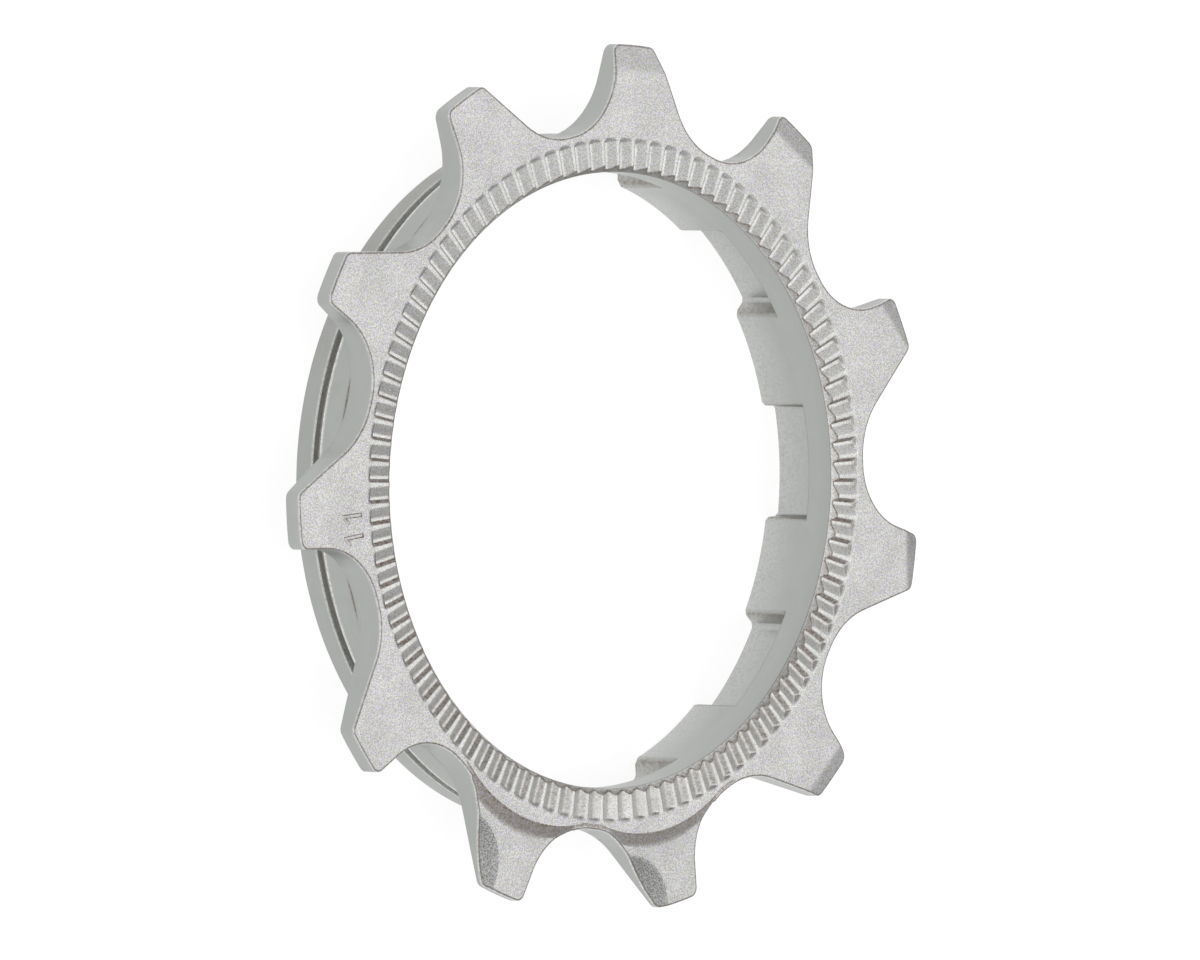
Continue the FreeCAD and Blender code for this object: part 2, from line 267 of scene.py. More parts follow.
# Colours of the steel. Pairs are the dark and the light grains, or the two ends of a drift.
BLASTED = ((0.40, 0.40, 0.39, 1), (0.92, 0.92, 0.91, 1))
TINTS = ((0.70, 0.71, 0.55, 1), (0.69, 0.64, 0.80, 1))
HOLLOWED = ((0.15, 0.15, 0.147, 1), (0.58, 0.58, 0.57, 1))
SATIN = ((0.395, 0.41, 0.392, 1), (0.43, 0.442, 0.43, 1))
TURNED = (0.48, 0.49, 0.475, 1)
# Bright worn steel, which also paints highlights.
RUBBED_AND_HIGHLIGHT = ((0.74, 0.74, 0.72, 1), (0.97, 0.97, 0.95, 1))
# Brown of grime, which also paints shade in corners and on shaded sides.
GRIME_AND_SHADE_COLOUR = (0.16, 0.088, 0.05, 1)
# Spans of the noise or finish that are spread, and what they are spread to.
WHOLE = (0, 1)
GRAIN_SPAN = (0.34, 0.66)
TINT_SPAN = (0.35, 0.65)
TINT_SHARE = 0.38
CLOUD_SPAN = (0.3, 0.7)
HOLLOW_SPAN = (-0.005, 0.02)
HOLLOW_SHARE = (0, 0.65)
LINE_SPAN = (0.55, 0.8)
LINE_SHARE = (0, 0.4)
WEAR_SPAN = (0.25, 0.6)
WEAR_SHARE = (0.3, 1)
GRIME_AND_SHADE_SPAN = (0.3, 0.65)
GRIME_AND_SHADE_SHARE = (1, 0.55)
# Roughness of the sides and of the front, and what clouds, and grime with painted shade, add to it.
ROUGHNESS = (0.33, 0.36)
CLOUD_ROUGHNESS = (-0.04, 0.05)
GRIME_AND_SHADE_ROUGHNESS = 0.2
# Grime and painted shade from the first value on are less and less metallic.
METALLIC_SPAN = (0.2, 1)
METALLIC = (1, 0.35)
LINE_RELIEF = 0.05
BUMP_STRENGTH = 0.5
BUMP_MM = 0.02

# Floor: its half side in metres, the grey that lights the cog, and the shade and glow that are seen.
FLOOR_HALF_SIDE = 2.0
FLOOR_GREY = (0.8, 0.8, 0.8, 1)
FLOOR_SHADE = (0.32, 0.32, 0.32, 1)
FLOOR_GLOW = 0.85

# Soft lights of the studio, as directions in the part's frame, with the angles from the middle
# at which each starts to fade and ends, and its brightness.
SOFT_LIGHTS = (
    ((0.62, -0.02, 0.78), 8, 29, 0.86),
    ((0.45, 0.80, 0.40), 12, 36, 0.3),
    ((0.32, 0.54, 0.78), 14, 38, 0.28),
    ((0.86, 0.44, 0.22), 10, 28, 0.14),
    ((0.10, -0.48, 0.87), 10, 28, 0.24),
    ((0.80, -0.56, 0.22), 10, 32, 0.18),
    ((-0.15, -0.92, 0.35), 15, 45, 0.45),
    ((-0.76, 0.02, 0.65), 12, 45, 0.8),
    ((-0.12, -0.05, 0.99), 8, 30, 0.33),
)
DIM_LIGHT = 0.27
WHITE = (1, 1, 1, 1)


def turned(points, degrees):
    """Turn flat points about the cog's axis."""
    angle = np.radians(degrees)
    x, y = points[..., 0], points[..., 1]
    cosine, sine = np.cos(angle), np.sin(angle)
    return np.stack([x * cosine - y * sine, x * sine + y * cosine], -1)


def polar(radius, degrees):
    """Flat points from radius and angle."""
    angle = np.radians(degrees)
    return np.stack([radius * np.cos(angle), radius * np.sin(angle)], -1)


def half_turn(degrees):
    """Angle brought between -180 and 180 degrees."""
    return (degrees + 180) % 360 - 180


def round_steps(start, end, count=4):
    """Cosine and sine at even steps along a rounded edge, between two angles in degrees."""
    for bend in np.linspace(start, end, count):
        lean = math.radians(bend)
        yield math.cos(lean), math.sin(lean)


def arc(centre, start, end, count):
    """Points on the shorter arc about a centre."""
    first = math.atan2(*(start - centre)[::-1])
    last = math.atan2(*(end - centre)[::-1])
    sweep = (last - first + math.pi) % (2 * math.pi) - math.pi
    angles = first + sweep * np.linspace(0, 1, count)
    radius = np.linalg.norm(start - centre)
    return centre + radius * np.stack([np.cos(angles), np.sin(angles)], -1)


def flank_pieces(half_width, flank_angle, fillet):
    """Root fillet and tip corner of the gap's side at +y, from the root outwards."""
    lean = math.radians(flank_angle)
    corner = np.array([ROOT, half_width])
    along = np.array([math.cos(lean), math.sin(lean)])
    into_tooth = np.array([-math.sin(lean), math.cos(lean)])
    tangent = fillet * math.tan(math.pi / 4 - lean / 2)
    root_start = corner - np.array([0, tangent])
    root_end = corner + along * tangent
    root_arc = arc(root_start + np.array([fillet, 0]), root_start, root_end, ROOT_ARC_POINTS)
    beside = corner + into_tooth * TIP_FILLET
    middle = along @ beside
    reach = -middle + math.sqrt(middle**2 - beside @ beside + (TIP - TIP_FILLET) ** 2)
    centre = beside + along * reach
    tip_start = centre - into_tooth * TIP_FILLET
    tip_end = centre * TIP / np.linalg.norm(centre)
    tip_arc = arc(centre, tip_start, tip_end, TIP_CORNER_POINTS)
    return root_arc, tip_arc


def tooth_outline():
    """One period of the outline, from the middle of a gap to the middle of the next, finely."""
    back_root, back_tip = flank_pieces(BACK_HALF_WIDTH, BACK_ANGLE, BACK_FILLET)
    load_root, load_tip = flank_pieces(LOAD_HALF_WIDTH, LOAD_ANGLE, LOAD_FILLET)
    flip = np.array([1, -1])
    load_root = turned(load_root * flip, GAP_STEP)[::-1]
    load_tip = turned(load_tip * flip, GAP_STEP)[::-1]
    tip = arc(np.zeros(2), back_tip[-1], load_tip[0], TIP_POINTS)
    start = np.array([[ROOT, 0.0]])
    corners = [start, back_root, back_tip, tip[1:-1], load_tip, load_root, turned(start, GAP_STEP)]
    corners = np.concatenate(corners)
    fine = [corners[:1]]
    for first, last in zip(corners[:-1], corners[1:]):
        count = max(1, int(np.linalg.norm(last - first) / OUTLINE_STEP))
        steps = np.linspace(0, 1, count + 1)[1:, None]
        fine.append(first + (last - first) * steps)
    return np.concatenate(fine)


def column_outline(shares):
    """Outline points and outward normals for shares of the way round the cog."""
    line = tooth_outline()
    step = np.diff(line, axis=0)
    length = np.linalg.norm(step, axis=1)
    heading = np.unwrap(np.arctan2(step[:, 1], step[:, 0]))
    turning = np.abs(np.diff(heading, prepend=heading[0]))
    place = np.concatenate([[0], np.cumsum(length + turning)])
    place /= place[-1]
    tooth = np.floor(shares * TEETH)
    within = shares * TEETH - tooth
    flat = np.stack([np.interp(within, place, line[:, axis]) for axis in (0, 1)], -1)
    middle = (place[1:] + place[:-1]) / 2
    facing = np.interp(within, middle, heading) - np.pi / 2
    normal = np.stack([np.cos(facing), np.sin(facing)], -1)
    return turned(flat, tooth * GAP_STEP), turned(normal, tooth * GAP_STEP)


def soft_rise(distance, softness):
    """Zero below zero and the distance above, with a soft bend between."""
    return (distance + np.sqrt(distance**2 + softness**2)) / 2


def tooth_of(points):
    """Number of the tooth that each point is nearest to."""
    angle = np.degrees(np.arctan2(points[..., 1], points[..., 0]))
    return np.round((angle - TIP_MIDDLE) / GAP_STEP).astype(int) % TEETH


def lowered_centre(tooth):
    """Centre of the round wall behind a lowered tooth."""
    return polar(LOWERED_AXIS, (tooth + 0.5) * GAP_STEP)


def bevel_direction(tooth, turn):
    """Direction in which a tooth's bevel falls."""
    return polar(1.0, tooth * GAP_STEP + TIP_MIDDLE + turn)


def hollow_height(points):
    """Height of the hollows beside the lowered teeth's load flanks."""
    height = np.full(points.shape[:-1], np.inf)
    slope = math.tan(math.radians(HOLLOW_SLOPE))
    for tooth in LOWERED_TEETH:
        middle = polar(HOLLOW_REACH, tooth * GAP_STEP + HOLLOW_TURN)
        away = np.linalg.norm(points - middle, axis=-1)
        height = np.minimum(height, FRONT - HOLLOW_DEPTH + away * slope)
    return height


def face_height(points):
    """Height of the front face at flat points, without the hollows."""
    height = np.full(points.shape[:-1], FRONT)
    nearest = tooth_of(points)
    wall_slope = LOWERED_DEPTH / LOWERED_FOOT
    fall_slope = math.tan(math.radians(LOWERED_FALL))
    for tooth in LOWERED_TEETH:
        away = points - lowered_centre(tooth)
        out = np.linalg.norm(away, axis=-1) - LOWERED_WALL
        side = np.degrees(np.arctan2(away[..., 1], away[..., 0])) - (tooth + 0.5) * GAP_STEP
        within = np.abs(half_turn(side)) < LOWERED_HALF_SWEEP
        past_foot = soft_rise(out - LOWERED_FOOT, WALL_SOFTNESS)
        lowered = FRONT - out * wall_slope + past_foot * (wall_slope - fall_slope)
        height = np.where(within & (out > 0), np.minimum(height, lowered), height)
    for tooth, (width, turn) in BEVELS.items():
        past = points @ bevel_direction(tooth, turn) - (TIP - width)
        drop = soft_rise(past, BEVEL_SOFTNESS) * math.tan(math.radians(BEVEL_SLOPE))
        height = np.where(nearest == tooth, np.minimum(height, FRONT - drop), height)
    return height


def front_height(points):
    """Height of the front face at flat points."""
    return np.minimum(face_height(points), hollow_height(points))


def rear_height(points):
    """Height of the teeth's tapered rear face at flat points."""
    radius = np.linalg.norm(points, axis=-1)
    taper = (ROOT_THICKNESS - TIP_THICKNESS) / (TIP - HUB)
    return PLATE_BACK + (radius - HUB) * taper


def crossing(start, end, centre, radius):
    """Share of the way from start to end at which a circle is left."""
    along = end - start
    away = start - centre
    length = (along**2).sum(-1)
    approach = (along * away).sum(-1)
    outside = (away**2).sum(-1) - radius**2
    chord = np.maximum(approach**2 - length * outside, 0)
    return (-approach + np.sqrt(chord)) / length


def front_shares(seam, rim):
    """Shares between seam and rim at which each column meets the front face's creases."""
    first, second = (np.full(len(seam), share) for share in PLAIN_SHARES)
    nearest = tooth_of(rim)
    for tooth in LOWERED_TEETH:
        mine = nearest == tooth
        centre = lowered_centre(tooth)
        first = np.where(mine, crossing(seam, rim, centre, LOWERED_WALL), first)
        second = np.where(mine, crossing(seam, rim, centre, LOWERED_WALL + LOWERED_FOOT), second)
    for tooth, (width, turn) in BEVELS.items():
        direction = bevel_direction(tooth, turn)
        begin = seam @ direction
        run = rim @ direction - begin
        crease = (TIP - width - begin) / np.where(np.abs(run) < LEAST_RUN, LEAST_RUN, run)
        reaches = (nearest == tooth) & (crease > CREASE_LEAST) & (crease < 1)
        first = np.where(reaches, crease - CREASE_HALF_WIDTH, first)
        second = np.where(reaches, crease + CREASE_HALF_WIDTH, second)
    first = np.clip(first, *FIRST_LIMITS)
    return first, np.clip(second, first + LEAST_GAP, SECOND_LIMIT)


def serration_height(share):
    """Depth of the serrations under the front face, with soft crests and troughs."""
    fine = np.linspace(*PROFILE_SPAN, PROFILE_POINTS)
    sharp = np.interp(fine, SERRATION_KNOTS, SERRATION_LEVELS * SERRATION_DEPTH)
    total = np.concatenate([[0], np.cumsum(sharp[1:] + sharp[:-1]) / 2]) * (fine[1] - fine[0])
    ahead = np.interp(share + SERRATION_SOFTNESS, fine, total)
    behind = np.interp(share - SERRATION_SOFTNESS, fine, total)
    return (ahead - behind) / (2 * SERRATION_SOFTNESS)


def slot_columns(base):
    """Angle, radius and painted shade of each column along the spline slots.

    The slots' side walls stand on columns of their own.
    """
    radius = np.full(len(base), BORE)
    painted_wall_shade = np.zeros(len(base))
    walls = []
    for slot in range(SPLINES):
        half = (KEY_SLOT_WIDTH if slot == KEY_SLOT else SLOT_WIDTH) / 2
        middle = slot * 360 / SPLINES
        half_angle = math.degrees(math.asin(half / SLOT_MIDDLE))
        radius[np.abs(half_turn(base - middle)) < half_angle] = SLOT_FLOOR
        # Floor beside the wall, foot of the wall, top of the wall, and land beside it.
        laterals = (half - SLOT_EDGE, half, half, half + SLOT_EDGE)
        reaches = (SLOT_FLOOR, SLOT_FLOOR - SLOT_EDGE, BORE + SLOT_EDGE, BORE)
        for side in (-1, 1):
            edge = middle + side * half_angle
            corner = int(np.argmin(np.abs(half_turn(base - edge))))
            for step, (lateral, reach, painted_shade) in enumerate(zip(laterals, reaches, SLOT_WALL_SHADE)):
                column = (corner + side * (step - 1)) % len(base)
                angle = middle + side * math.degrees(math.asin(lateral / reach))
                walls.append((column, angle, reach, painted_shade))
    columns, angles, reaches, painted_wall_shades = (np.array(values) for values in zip(*walls))
    shift = half_turn(angles - base[columns])
    order = np.argsort(base[columns])
    known = base[columns][order]
    known = np.concatenate([known - 360, known, known + 360])
    angle = base + np.interp(base, known, np.tile(shift[order], 3))
    radius[columns] = reaches
    painted_wall_shade[columns] = painted_wall_shades
    return angle, radius, painted_wall_shade


class Rows:
    """Rows of points round the cog's section, with a point for each column of the mesh.

    Each point has a finish: how much it is blasted front face, bright edge with wear and painted highlight,
    and dark corner with grime and painted shade, and how deep it lies in a hollow.
    """

    def __init__(self):
        """Lay out the columns, and the finish that changes round the ring."""
        self.number = np.repeat(np.arange(SERRATIONS), len(COLUMN_SHARES))
        self.share = np.tile(COLUMN_SHARES, SERRATIONS)
        self.base = self.serration_angle(SERRATION_OUTER)
        self.outline, self.normal = column_outline(self.base / 360 % 1)
        self.places = []
        self.finishes = []
        # The ring gets painted shade towards both ends of x, a painted highlight towards -y, and a painted
        # highlight of blasted colour towards +x.
        cosine = np.cos(np.radians(self.base))
        sine = np.sin(np.radians(self.base))
        self.upper = np.clip(sine, 0, 1)
        self.lower = np.clip(-sine, 0, 1)
        self.right_highlight = np.clip(cosine, 0, 1)
        self.wear_and_lower_highlight = WEAR_LEAST + LOWER_HIGHLIGHT_ADDED * np.sqrt(self.lower)
        self.stain_and_side_shade = STAIN_LEAST + SIDE_SHADE_ADDED * np.abs(cosine)

    def serration_angle(self, radius):
        """Angle of each column at a radius, so that crests and troughs run straight."""
        across = np.interp(self.share, SERRATION_KNOTS, SERRATION_PLACES)
        pitches = np.interp(self.share, SERRATION_KNOTS, SERRATION_PITCHES)
        return np.degrees(across / radius) + (self.number + pitches) * 360 / SERRATIONS

    def add(self, flat, height, front=0.0, wear=0.0, grime=0.0):
        """Add a row with its finish."""
        hollow = np.clip(face_height(flat) - hollow_height(flat), NO_HOLLOW, 1)
        values = [np.broadcast_to(value, self.base.shape) for value in (height, front, wear, grime, hollow)]
        self.places.append(np.column_stack([flat, values[0]]))
        self.finishes.append(np.column_stack(values[1:]))


def add_serrations(rows):
    """Add the serrated ring, from the seam inwards, and the cone's top at its inner ends."""
    drop = serration_height(rows.share)
    depth = -drop / SERRATION_DEPTH
    # Real wear on the flats; elsewhere the ring's wear, with a painted highlight towards -y.
    wear = rows.wear_and_lower_highlight + (FLAT_WEAR - rows.wear_and_lower_highlight) * np.interp(rows.share, FLAT_SHARES, FLAT_LEVELS)
    # Grime and painted shade on the steep sides, painted shade in the troughs towards -y.
    steep_grime_and_shade = np.interp(rows.share, STEEP_SHARES, STEEP_LEVELS) * rows.stain_and_side_shade
    trough_shade = np.interp(rows.share, TROUGH_SHARES, TROUGH_LEVELS) * rows.lower
    grime = np.maximum(steep_grime_and_shade, trough_shade)
    rows.add(polar(SEAM, rows.base), FRONT, front=1)
    for runout, painted_shade in RUNOUT_ROWS:
        radius = SERRATION_OUTER + SERRATION_RUNOUT * (1 - runout)
        flat = polar(radius, rows.serration_angle(radius))
        # Painted highlight towards +x along the outer ends, painted shade in their deep parts.
        bright = np.maximum(wear * runout, rows.right_highlight * (1 - runout))
        rows.add(flat, FRONT + drop * runout, front=1, wear=bright, grime=depth * painted_shade)
    top = FRONT + drop
    cone_top = BORE + CONE_WIDTH + CONE_SPREAD * (top - CONE_END)
    middle = (SERRATION_OUTER + cone_top) / 2
    for radius in (SERRATION_OUTER - SERRATION_STEP, middle, cone_top + 3 * SHARP_EDGE):
        flat = polar(radius, rows.serration_angle(radius))
        rows.add(flat, top, front=1, wear=wear, grime=grime)
    end_angle = rows.serration_angle(cone_top)
    # Painted shade along the cone's scalloped top and on its edge, which also gets painted highlights.
    rows.add(polar(cone_top, end_angle), top - SHARP_EDGE * SHARP_MIDDLE, front=1, grime=CONE_TOP_SHADE)
    slant = (top - CONE_END) / (cone_top - BORE)
    flat = polar(cone_top - SHARP_EDGE, end_angle)
    height = top - SHARP_EDGE * (SHARP_MIDDLE + slant)
    rows.add(flat, height, front=rows.right_highlight, wear=rows.wear_and_lower_highlight, grime=CONE_SHADE)


def add_bore(rows):
    """Add the cone's foot, the bore and the spline slots, from the front to the rear."""
    angle, radius, painted_wall_shade = slot_columns(rows.base)
    middle = SHARP_EDGE * SHARP_MIDDLE
    # Painted highlights on the cone's foot, and a line of painted shade along the bore's front edge.
    rows.add(polar(BORE + SHARP_EDGE, angle), CONE_END, front=rows.right_highlight, wear=rows.wear_and_lower_highlight)
    rows.add(polar(BORE + middle, angle), CONE_END - middle, grime=BORE_EDGE_SHADE)
    rows.add(polar(BORE, angle), CONE_END - SHARP_EDGE)
    rows.add(polar(BORE, angle), SLOT_END + 3 * SHARP_EDGE)
    in_slot = radius > BORE
    # Painted shade in the slots' ends and along their walls.
    for slot_reach, slot_height, land_height, painted_shade in SLOT_END_ROWS:
        flat = polar(np.minimum(radius, slot_reach), angle)
        height = np.where(in_slot, slot_height, land_height)
        rows.add(flat, height, grime=np.maximum(in_slot * painted_shade, painted_wall_shade))
    rear_edge = np.where(radius > SLOT_MIDDLE, EDGE, LAND_EDGE)
    # The walls' painted shade runs on round the rear edge.
    for cosine, sine in round_steps(0, 90):
        flat = polar(radius + rear_edge * (1 - cosine), angle)
        rows.add(flat, rear_edge * (1 - sine), wear=REAR_EDGE_WEAR, grime=painted_wall_shade)


def add_spacer(rows):
    """Add the rear face, the rim, the groove and the spacer's side, up to the teeth."""
    base = rows.base
    # The rim gets darker towards +y.
    spacer_darkening = SPACER_DARKENING * rows.upper
    rows.add(polar(SLOT_FLOOR + REAR_FACE_STEP, base), 0)
    for cosine, sine in round_steps(-90, 0):
        rows.add(polar(HUB - RIM_EDGE + RIM_EDGE * cosine, base), RIM_EDGE + RIM_EDGE * sine, grime=spacer_darkening)
    rows.add(polar(HUB, base), GROOVE_BACK_ROW, grime=spacer_darkening)
    # Painted highlight on the groove's rear edge.
    for cosine, sine in round_steps(0, 90):
        height = GROOVE_BACK - EDGE + EDGE * sine
        rows.add(polar(HUB - EDGE + EDGE * cosine, base), height, wear=GROOVE_BACK_HIGHLIGHT)
    rows.add(polar(GROOVE_FLOOR + EDGE, base), GROOVE_BACK, grime=GROOVE_BACK_GRIME)
    rows.add(polar(GROOVE_FLOOR, base), GROOVE_BACK + EDGE, grime=GROOVE_BACK_GRIME)
    rows.add(polar(GROOVE_FLOOR, base), GROOVE_FRONT - EDGE, grime=GROOVE_FRONT_GRIME)
    rows.add(polar(GROOVE_FLOOR + EDGE, base), GROOVE_FRONT, grime=GROOVE_FRONT_GRIME)
    # Painted highlight on the groove's front edge.
    for cosine, sine in round_steps(-90, 0):
        height = GROOVE_FRONT + EDGE + EDGE * sine
        rows.add(polar(HUB - EDGE + EDGE * cosine, base), height, wear=GROOVE_FRONT_HIGHLIGHT)
    rows.add(polar(HUB, base), GROOVE_FRONT_ROW)
    # Painted shade on the spacer just under the teeth.
    rows.add(polar(HUB, base), PLATE_UNSHADED_ROW)
    rows.add(polar(HUB, base), PLATE_SHADED_ROW, grime=PLATE_SHADE)


def add_teeth(rows):
    """Add the teeth's tapered rear face, rear edge, flanks and front edge."""
    rim = rows.outline - rows.normal * EDGE
    foot = polar(HUB + FOOT_STEP, rows.base)
    # Painted shade at the foot of the teeth's rear face.
    for share, painted_shade in REAR_ROWS:
        flat = foot + (rim - foot) * share
        rows.add(flat, rear_height(flat), grime=painted_shade)
    for cosine, sine in round_steps(45, 90, 2):
        flat = rows.outline - rows.normal * EDGE * (1 - sine)
        rows.add(flat, rear_height(rows.outline) + EDGE * (1 - cosine))
    top = front_height(rim)
    rows.add(rows.outline, top - EDGE - FLANK_STEP)
    for (cosine, sine), bright in zip(round_steps(90, 30, 3), TOOTH_EDGE_WEAR):
        flat = rows.outline - rows.normal * EDGE * (1 - sine)
        rows.add(flat, top - EDGE * (1 - cosine), wear=bright)
    # Painted shade line along the teeth's front edge.
    rows.add(rim, top, front=1, grime=TOOTH_RIM_SHADE)


def add_front(rows):
    """Add the front face, from the teeth's rims back to the seam."""
    seam = polar(SEAM, rows.base)
    rim = rows.outline - rows.normal * (EDGE + RIM_STEP)
    first, second = front_shares(seam, rim)
    nearest = tooth_of(rim)
    # Painted shade on the lowered teeth's round walls, darkest along their top edges.
    wall_shade = sum(grime * (nearest == tooth) for tooth, grime in LOWERED_WALL_SHADE.items())
    shares = [(second + (1 - second) * part, painted_shade) for part, painted_shade in OUTER_ROWS]
    shares += [(first + (second - first) * part, painted_shade) for part, painted_shade in CREASE_ROWS]
    shares += [(first - CREASE_STEP, 0.0), (first / 2, 0.0)]
    for share, painted_shade in shares:
        flat = seam + (rim - seam) * share[:, None]
        rows.add(flat, front_height(flat), front=1, grime=wall_shade * painted_shade)


def leftward(steps):
    """Unit vectors to the left of each step."""
    return np.stack([-steps[:, 1], steps[:, 0]], -1) / np.linalg.norm(steps, axis=1)[:, None]


def inset(outline, distance):
    """Move an outline that runs anticlockwise inwards."""
    before = leftward(outline - np.roll(outline, 1, axis=0))
    after = leftward(np.roll(outline, -1, axis=0) - outline)
    return outline + (before + after) * distance / (1 + (before * after).sum(-1))[:, None]


def inside(point, outline):
    """Whether a flat point lies inside an outline."""
    ends = np.roll(outline, -1, axis=0)
    spans = (outline[:, 1] > point[1]) != (ends[:, 1] > point[1])
    rise = np.where(spans, ends[:, 1] - outline[:, 1], 1.0)
    across = outline[:, 0] + (point[1] - outline[:, 1]) / rise * (ends[:, 0] - outline[:, 0])
    return np.count_nonzero(spans & (across > point[0])) % 2 == 1


def field_faces(rim_names, rim_places, figures, first_vertex):
    """Faces between the field's rim and the figures, whose points start at the first vertex."""
    figure_points = sum(len(outline) for outline in figures)
    names = list(rim_names) + list(range(first_vertex, first_vertex + figure_points))
    places = []
    edges = []
    for outline in [rim_places] + figures:
        start = len(places)
        count = len(outline)
        places += [Vector(point) for point in outline]
        edges += [(start + step, start + (step + 1) % count) for step in range(count)]
    corners, _, triangles, sources, _, _ = delaunay_2d_cdt(places, edges, [], TRIANGLES_INSIDE, SAME_POINT)
    corner_names = [names[source[0]] for source in sources]
    faces = []
    for triangle in triangles:
        first, second, third = (corners[corner] for corner in triangle)
        if any(inside((first + second + third) / 3, outline) for outline in figures):
            continue
        if (second - first).cross(third - first) < 0:
            triangle = triangle[::-1]
        faces.append([corner_names[corner] for corner in triangle])
    return faces


def figure_recess(outline, first_vertex):
    """Points, finishes and faces of one figure's walls and floor."""
    count = len(outline)
    points = []
    finish = []
    for distance, height, grime in FIGURE_RINGS:
        points += [(x, y, height) for x, y in inset(outline, distance)]
        # Painted shade in the figure's recess, more at some corners.
        finish += [(1, 0, grime * painted_shade, NO_HOLLOW) for painted_shade in FIGURE_SHADE]
    last_ring = first_vertex + len(points) - count
    faces = []
    for outer in range(first_vertex, last_ring, count):
        inner = outer + count
        for step in range(count):
            following = (step + 1) % count
            faces.append([outer + step, outer + following, inner + following, inner + step])
    faces.append([last_ring + step for step in range(count)])
    return points, finish, faces


def stamp_figures(rim_names, rim_places, first_vertex):
    """Points, finishes and faces of the field with the stamped figures, which are recessed in it."""
    figures = [turned(FIGURE, angle) for angle in FIGURE_ANGLES]
    points = [(x, y, FRONT) for outline in figures for x, y in outline]
    finish = [(1, 0, 0, NO_HOLLOW)] * len(points)
    faces = field_faces(rim_names, rim_places, figures, first_vertex)
    for outline in figures:
        more_points, more_finish, more_faces = figure_recess(outline, first_vertex + len(points))
        points += more_points
        finish += more_finish
        faces += more_faces
    return np.array(points), np.array(finish), faces


def grid_faces(height, width):
    """Corners of the faces between rows and columns, both of which close on themselves."""
    row = np.arange(height)[:, None]
    column = np.arange(width)[None, :]
    next_row = (row + 1) % height
    next_column = (column + 1) % width
    corners = (
        row * width + column,
        row * width + next_column,
        next_row * width + next_column,
        next_row * width + column,
    )
    return np.stack([np.broadcast_to(corner, (height, width)) for corner in corners], -1)


def build_cog(material):
    """Join the rows into the dressed cog and stamp the figures."""
    rows = Rows()
    add_serrations(rows)
    add_bore(rows)
    add_spacer(rows)
    add_teeth(rows)
    add_front(rows)
    points = np.stack(rows.places)
    height, width = points.shape[:2]
    places = points.reshape(-1, 3)
    finish = np.concatenate(rows.finishes)

    # The faces of the field make way for the figures.
    seam_angle = np.degrees(np.arctan2(points[0, :, 1], points[0, :, 0])) % 360
    field_columns = np.flatnonzero((seam_angle > FIGURE_FIELD[0]) & (seam_angle < FIGURE_FIELD[1]))
    field_rows = list(range(height - FIGURE_FIELD_ROWS, height)) + [0]
    kept = np.ones((height, width), bool)
    kept[np.ix_(field_rows[:-1], field_columns[:-1])] = False
    names = np.arange(height * width).reshape(height, width)[np.ix_(field_rows, field_columns)]
    rim = np.concatenate([names[0, :-1], names[:-1, -1], names[-1, :0:-1], names[:0:-1, 0]])
    stamp_points, stamp_finish, stamp_faces = stamp_figures(rim, places[rim, :2], len(places))
    places = np.concatenate([places, stamp_points])
    finish = np.concatenate([finish, stamp_finish])
    faces = grid_faces(height, width)[kept].tolist() + stamp_faces

    mesh = bpy.data.meshes.new("dressed_cog")
    mesh.from_pydata((places * MM).tolist(), [], faces)
    for place, name in enumerate(FINISHES):
        layer = mesh.attributes.new(name, "FLOAT", "POINT")
        layer.data.foreach_set("value", finish[:, place].copy())
    mesh.polygons.foreach_set("use_smooth", np.arange(len(faces)) < np.count_nonzero(kept))
    mesh.materials.append(material)
    mesh.validate()
    cog = bpy.data.objects.new("dressed_cog", mesh)
    bpy.context.scene.collection.objects.link(cog)
    weighted = cog.modifiers.new("weighted", "WEIGHTED_NORMAL")
    weighted.weight = FACE_WEIGHT
    return cog


def make_camera():
    """Place the camera at the photograph's viewing angle."""
    back = CAMERA_BACK.normalized()
    right = CAMERA_UP.cross(back).normalized()
    up = back.cross(right)
    data = bpy.data.cameras.new("camera")
    data.lens = CAMERA_LENS_MM
    data.sensor_width = SENSOR_MM
    camera = bpy.data.objects.new("camera", data)
    turn = Matrix((right, up, back)).transposed().to_4x4()
    camera.matrix_world = Matrix.Translation(CAMERA_PLACE_MM * MM) @ turn
    bpy.context.scene.collection.objects.link(camera)
    bpy.context.scene.camera = camera


def feed(tree, socket, value):
    """Link a socket's value, or set it where it is plain."""
    if isinstance(value, bpy.types.NodeSocket):
        tree.links.new(value, socket)
    else:
        socket.default_value = value


def maths(tree, operation, first, second):
    """Combine two numbers."""
    node = tree.nodes.new("ShaderNodeMath")
    node.operation = operation
    feed(tree, node.inputs[0], first)
    feed(tree, node.inputs[1], second)
    return node.outputs[0]


def mapped(tree, value, span, result):
    """Map a number from one span to another, held at its ends."""
    node = tree.nodes.new("ShaderNodeMapRange")
    node.interpolation_type = "SMOOTHSTEP"
    for socket, number in zip(node.inputs, (value, *span, *result)):
        feed(tree, socket, number)
    return node.outputs[0]


def mixed(tree, factor, first, second):
    """Mix two colours."""
    node = tree.nodes.new("ShaderNodeMix")
    node.data_type = "RGBA"
    # The node's sockets for numbers, vectors and colours follow each other, and these are for colours.
    for socket, value in zip((node.inputs[0], node.inputs[6], node.inputs[7]), (factor, first, second)):
        feed(tree, socket, value)
    return node.outputs[2]


